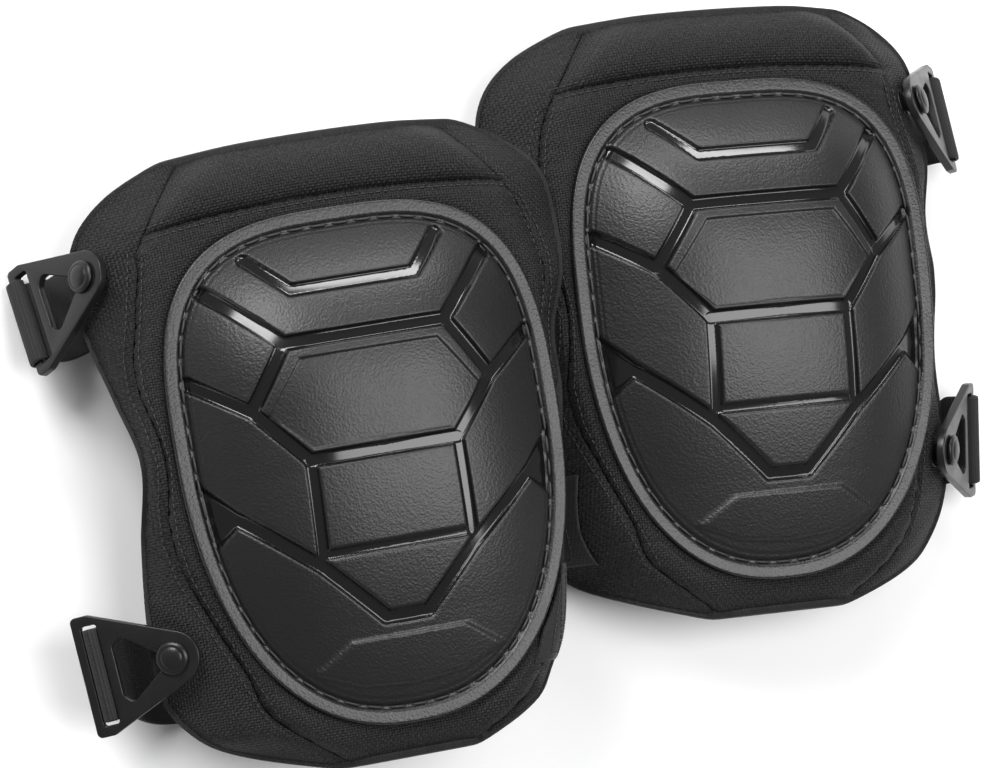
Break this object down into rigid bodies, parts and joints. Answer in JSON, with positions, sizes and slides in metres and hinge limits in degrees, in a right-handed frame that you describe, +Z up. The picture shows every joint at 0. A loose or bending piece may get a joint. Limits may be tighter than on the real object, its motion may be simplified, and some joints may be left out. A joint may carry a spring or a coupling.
{
  "type": "knee pads",
  "caption": "Pair of strap-on work knee pads: grooved moulded caps sewn to padded nylon wings, with elastic straps hooked on studs by swivelling triangular clips.",
  "frame": {"origin": "middle of the pair's footprint, on the floor the pads lie on", "axes": "+Z up out of the caps, +Y toward the tops of the pads, +X from the left pad to the right pad as seen from above"},
  "size_m": [0.452, 0.3468, 0.1109],
  "materials": {
    "moulded_cap": "fine leather grain on the plates, satin in the grooves",
    "thread": "bonded polyester thread",
    "nylon": "coarse basket-weave nylon",
    "lining": "brushed knit",
    "foam": "closed-cell foam",
    "gel": "soft translucent gel",
    "binding_tape": "woven nylon tape",
    "webbing": "ribbed elastic webbing",
    "clip_plastic": "satin moulded nylon",
    "steel": "zinc plated"
  },
  "bodies": {
    "right_pad": {"right_cap": "moulded_cap", "right_cap_stitching": "thread", "right_dome_foam": "foam", "right_front_panel": "nylon", "right_top_band": "nylon", "right_outer_wing_panel": "nylon", "right_inner_wing_panel": "nylon", "right_core_foam": "foam", "right_gel_pad": "gel", "right_top_foam": "foam", "right_outer_wing_foam": "foam", "right_inner_wing_foam": "foam", "right_lining": "lining", "right_edge_binding": "binding_tape", "right_upper_strap": "webbing", "right_upper_strap_anchor": "webbing", "right_upper_strap_tab": "webbing", "right_lower_strap": "webbing", "right_lower_strap_anchor": "webbing", "right_lower_strap_tab": "webbing"},
    "left_pad": {"left_cap": "moulded_cap", "left_cap_stitching": "thread", "left_dome_foam": "foam", "left_front_panel": "nylon", "left_top_band": "nylon", "left_outer_wing_panel": "nylon", "left_inner_wing_panel": "nylon", "left_core_foam": "foam", "left_gel_pad": "gel", "left_top_foam": "foam", "left_outer_wing_foam": "foam", "left_inner_wing_foam": "foam", "left_lining": "lining", "left_edge_binding": "binding_tape", "left_upper_strap": "webbing", "left_upper_strap_anchor": "webbing", "left_upper_strap_tab": "webbing", "left_lower_strap": "webbing", "left_lower_strap_anchor": "webbing", "left_lower_strap_tab": "webbing"},
    "left_upper_swivel": {"left_upper_stud": "clip_plastic", "left_upper_stud_washer": "steel"},
    "left_upper_hook": {"left_upper_clip": "clip_plastic", "left_upper_strap_loop": "webbing"},
    "left_lower_swivel": {"left_lower_stud": "clip_plastic", "left_lower_stud_washer": "steel"},
    "left_lower_hook": {"left_lower_clip": "clip_plastic", "left_lower_strap_loop": "webbing"},
    "right_upper_swivel": {"right_upper_stud": "clip_plastic", "right_upper_stud_washer": "steel"},
    "right_upper_hook": {"right_upper_clip": "clip_plastic", "right_upper_strap_loop": "webbing"},
    "right_lower_swivel": {"right_lower_stud": "clip_plastic", "right_lower_stud_washer": "steel"},
    "right_lower_hook": {"right_lower_clip": "clip_plastic", "right_lower_strap_loop": "webbing"}
  },
  "joints": [
    {"name": "left_pad_lift", "type": "slide", "parent": "right_pad", "child": "left_pad", "axis": [0, 0, 1], "range_m": [0, 0.15]},
    {"name": "left_upper_clip_turn", "type": "hinge", "parent": "left_pad", "child": "left_upper_swivel", "pos_m": [-0.19396, 0.03611, 0.04109], "axis": [-0.8609, 0.0459, 0.5067], "range_deg": [-30, 30]},
    {"name": "left_upper_clip_unhook", "type": "slide", "parent": "left_upper_swivel", "child": "left_upper_hook", "axis": [0.47, 0.4533, 0.7574], "range_m": [0, 0.013]},
    {"name": "left_lower_clip_turn", "type": "hinge", "parent": "left_pad", "child": "left_lower_swivel", "pos_m": [-0.16111, -0.12411, 0.05784], "axis": [-0.4976, -0.134, 0.857], "range_deg": [-30, 30]},
    {"name": "left_lower_clip_unhook", "type": "slide", "parent": "left_lower_swivel", "child": "left_lower_hook", "axis": [0.8284, 0.2195, 0.5153], "range_m": [0, 0.013]},
    {"name": "right_upper_clip_turn", "type": "hinge", "parent": "right_pad", "child": "right_upper_swivel", "pos_m": [0.17808, 0.12795, 0.04271], "axis": [0.7503, 0.255, 0.61], "range_deg": [-30, 15]},
    {"name": "right_upper_clip_unhook", "type": "slide", "parent": "right_upper_swivel", "child": "right_upper_hook", "axis": [-0.6472, 0.0946, 0.7565], "range_m": [0, 0.013]},
    {"name": "right_lower_clip_turn", "type": "hinge", "parent": "right_pad", "child": "right_lower_swivel", "pos_m": [0.19024, -0.02837, 0.04641], "axis": [0.7729, -0.0412, 0.6332], "range_deg": [-30, 30]},
    {"name": "right_lower_clip_unhook", "type": "slide", "parent": "right_lower_swivel", "child": "right_lower_hook", "axis": [-0.6278, -0.1949, 0.7536], "range_m": [0, 0.013]}
  ]
}
